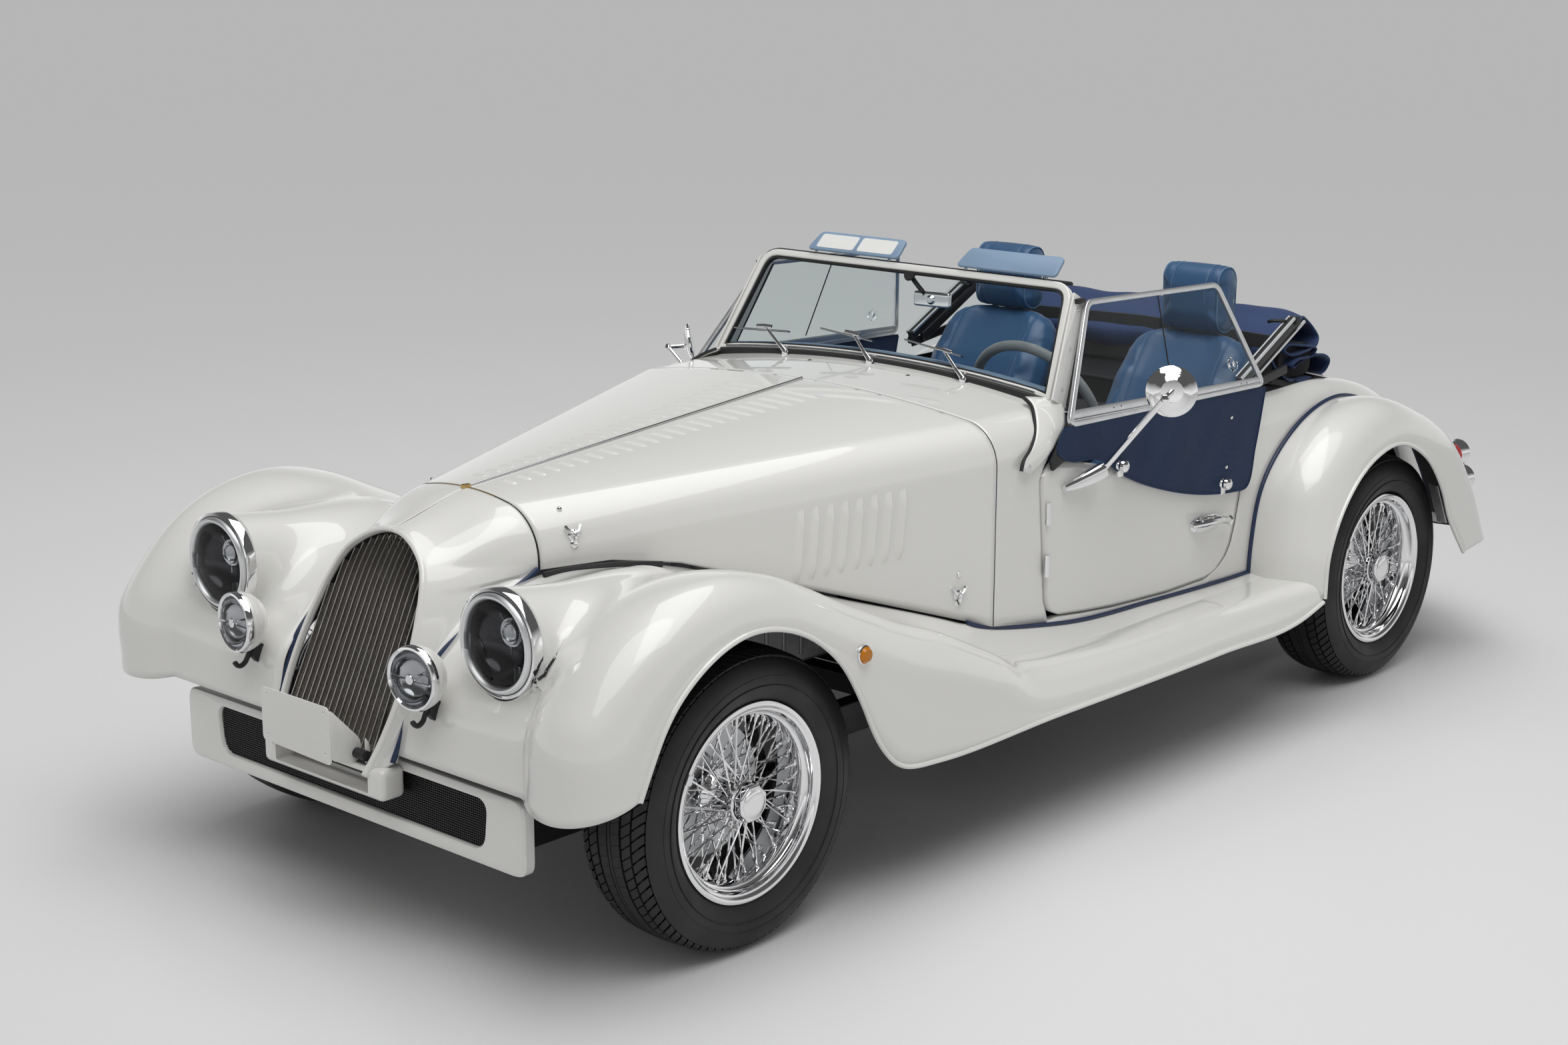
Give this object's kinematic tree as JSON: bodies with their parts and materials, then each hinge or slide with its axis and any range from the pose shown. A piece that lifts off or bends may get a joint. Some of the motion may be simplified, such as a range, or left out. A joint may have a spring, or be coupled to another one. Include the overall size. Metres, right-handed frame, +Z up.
{
  "type": "roadster convertible",
  "caption": "Open roadster with a long bonnet, separate wings, running boards, wire wheels, framed sidescreens and a folded fabric hood.",
  "frame": {"origin": "on the ground under the middle of the car's bounding box", "axes": "+Z up, nose towards -Y, +X to the car's left"},
  "size_m": [1.6278, 3.83, 1.2496],
  "materials": {
    "paint_white": "pearl gloss",
    "chassis_black": "satin",
    "trim_black": "matte",
    "engine_metal": "cast",
    "grille_metal": "polished",
    "mesh_black": "matte",
    "lamp_glass_chrome": "polished",
    "bright_metal": "polished",
    "trim_blue": "satin",
    "screen_glass": "clear",
    "chrome": "polished",
    "lamp_red": "gloss",
    "leather_blue": "satin",
    "hood_fabric": "woven",
    "sidescreen_fabric": "woven",
    "wheel_rim_grey": "satin",
    "tyre": "matte"
  },
  "bodies": {
    "chassis": {"chassis": "chassis_black", "cabin_floor": "trim_black", "engine_block": "engine_metal", "fuel_tank": "chassis_black", "front_cowl": "paint_white", "grille": "grille_metal", "front_wing_left": "paint_white", "front_wing_right": "paint_white", "front_apron": "paint_white", "apron_mesh": "mesh_black", "plate_carrier": "paint_white", "headlamps": "lamp_glass_chrome", "spot_lamps": "lamp_glass_chrome", "bonnet_hinge": "bright_metal", "scuttle": "paint_white", "dashboard": "trim_blue", "steering_column": "trim_black", "windscreen_frame": "paint_white", "windscreen_glass": "screen_glass", "wipers": "chrome", "sun_visors": "trim_blue", "rear_body": "paint_white", "rear_wing_left": "paint_white", "rear_wing_right": "paint_white", "rear_plinth": "paint_white", "tail_lamps": "lamp_red", "seat_left": "leather_blue", "seat_right": "leather_blue", "folded_hood": "hood_fabric", "hood_frame": "bright_metal", "front_suspension": "chassis_black", "steering_rack": "chassis_black", "rear_axle": "chassis_black", "exhaust": "bright_metal"},
    "steering_wheel": {"steering_wheel": "wheel_rim_grey"},
    "bonnet_left": {"bonnet_left": "paint_white"},
    "door_left": {"door_left": "paint_white", "sidescreen_left": "sidescreen_fabric", "sidescreen_glass_left": "screen_glass", "mirror_left": "chrome"},
    "knuckle_left": {"knuckle_left": "engine_metal"},
    "wheel_front_left": {"tyre_front_left": "tyre", "wire_wheel_front_left": "chrome"},
    "wheel_rear_left": {"tyre_rear_left": "tyre", "wire_wheel_rear_left": "chrome"},
    "bonnet_right": {"bonnet_right": "paint_white"},
    "door_right": {"door_right": "paint_white", "sidescreen_right": "sidescreen_fabric", "sidescreen_glass_right": "screen_glass", "mirror_right": "chrome"},
    "knuckle_right": {"knuckle_right": "engine_metal"},
    "wheel_front_right": {"tyre_front_right": "tyre", "wire_wheel_front_right": "chrome"},
    "wheel_rear_right": {"tyre_rear_right": "tyre", "wire_wheel_rear_right": "chrome"}
  },
  "joints": [
    {"name": "steer_left", "type": "hinge", "parent": "chassis", "child": "knuckle_left", "pos_m": [0.56, -1.345, 0.312], "axis": [0, 0, 1], "range_deg": [-33, 33]},
    {"name": "wheel_front_left_spin", "type": "hinge", "parent": "knuckle_left", "child": "wheel_front_left", "pos_m": [0.63, -1.345, 0.312], "axis": [1, 0, 0], "continuous": true},
    {"name": "wheel_rear_left_spin", "type": "hinge", "parent": "chassis", "child": "wheel_rear_left", "pos_m": [0.63, 1.175, 0.312], "axis": [1, 0, 0], "continuous": true},
    {"name": "door_left_hinge", "type": "hinge", "parent": "chassis", "child": "door_left", "pos_m": [0.606, -0.222, 0.62], "axis": [0, 0, -1], "range_deg": [0, 65]},
    {"name": "bonnet_left_hinge", "type": "hinge", "parent": "chassis", "child": "bonnet_left", "pos_m": [0, -1.453, 0.866], "axis": [0, -0.9961, -0.0881], "range_deg": [0, 62]},
    {"name": "steer_right", "type": "hinge", "parent": "chassis", "child": "knuckle_right", "pos_m": [-0.56, -1.345, 0.312], "axis": [0, 0, 1], "range_deg": [-33, 33]},
    {"name": "wheel_front_right_spin", "type": "hinge", "parent": "knuckle_right", "child": "wheel_front_right", "pos_m": [-0.63, -1.345, 0.312], "axis": [1, 0, 0], "continuous": true},
    {"name": "wheel_rear_right_spin", "type": "hinge", "parent": "chassis", "child": "wheel_rear_right", "pos_m": [-0.63, 1.175, 0.312], "axis": [1, 0, 0], "continuous": true},
    {"name": "door_right_hinge", "type": "hinge", "parent": "chassis", "child": "door_right", "pos_m": [-0.606, -0.222, 0.62], "axis": [0, 0, 1], "range_deg": [0, 65]},
    {"name": "bonnet_right_hinge", "type": "hinge", "parent": "chassis", "child": "bonnet_right", "pos_m": [0, -1.453, 0.866], "axis": [0, 0.9961, 0.0881], "range_deg": [0, 62]},
    {"name": "steering_wheel_turn", "type": "hinge", "parent": "chassis", "child": "steering_wheel", "pos_m": [0.3, 0.14, 0.85], "axis": [0, 0.9063, 0.4226], "range_deg": [-463, 463]}
  ],
  "couplings": [
    {"joint": "steer_right", "follows": "steer_left", "ratio": 1},
    {"joint": "steering_wheel_turn", "follows": "steer_left", "ratio": -14}
  ]
}
